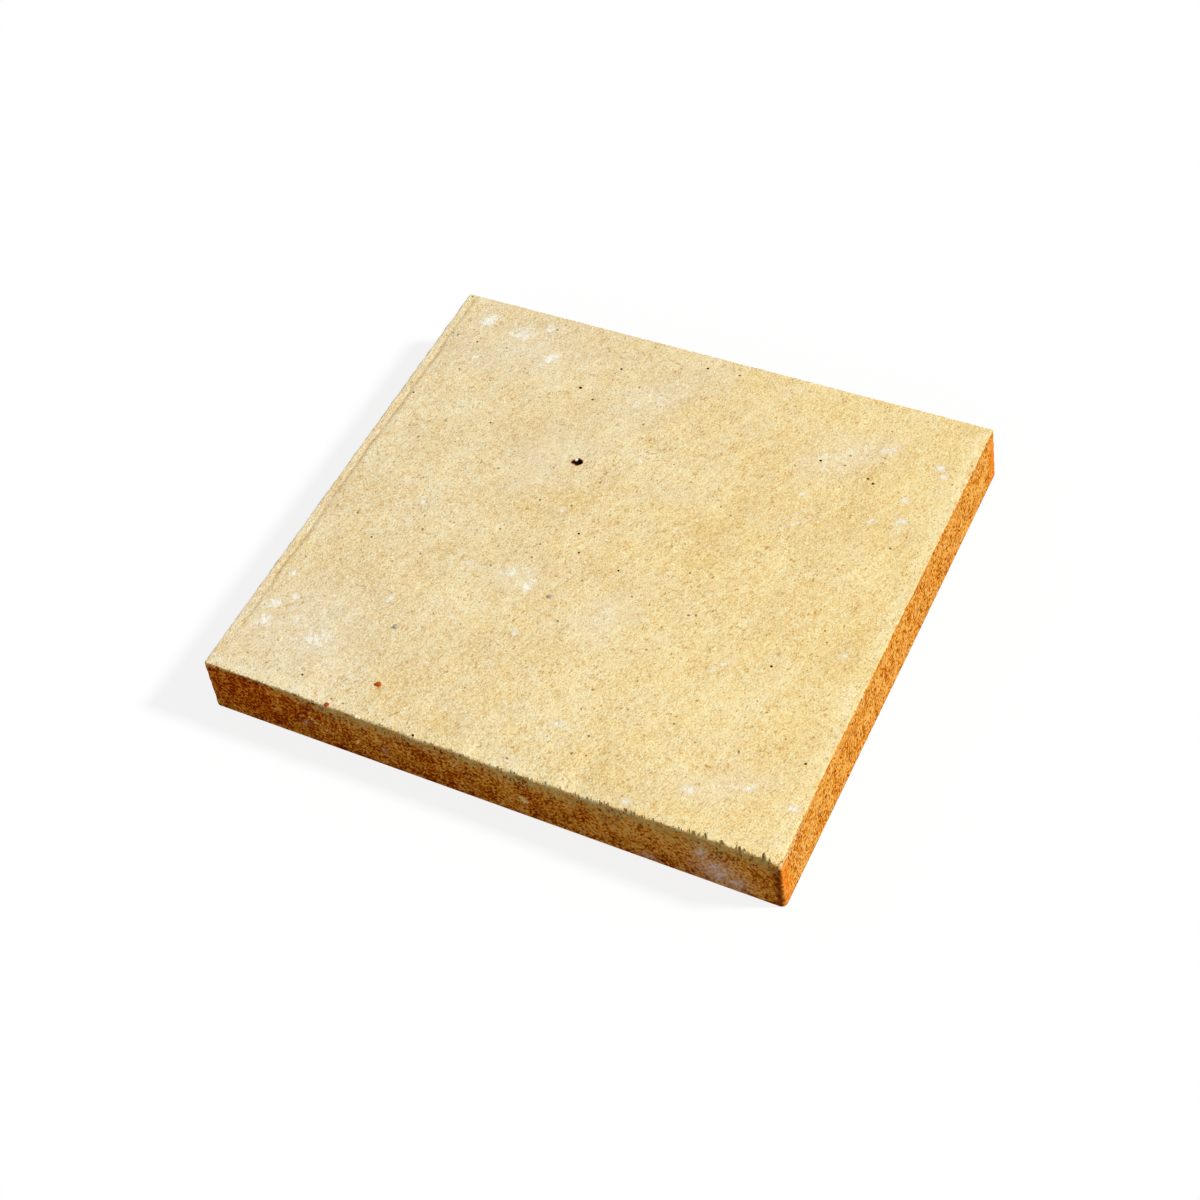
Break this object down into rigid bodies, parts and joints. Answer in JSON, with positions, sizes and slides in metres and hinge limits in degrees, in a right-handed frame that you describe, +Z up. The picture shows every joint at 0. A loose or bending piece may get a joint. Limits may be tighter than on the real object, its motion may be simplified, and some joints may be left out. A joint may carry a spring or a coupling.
{
  "type": "refractory firebrick slab",
  "caption": "Rectangular slab of fired fireclay with drafted sides, eased arrises and a struck top face, laid flat to line hearths, ovens and stoves.",
  "frame": {"origin": "middle of the bed, the face that the slab lies on", "axes": "+X along the longer front side, +Y from the front side to the back side, +Z up out of the struck top face"},
  "size_m": [0.275, 0.25, 0.03],
  "materials": {
    "fireclay": "matte, open-grained fired clay"
  },
  "bodies": {
    "root": {"firebrick_slab": "fireclay"}
  },
  "joints": []
}
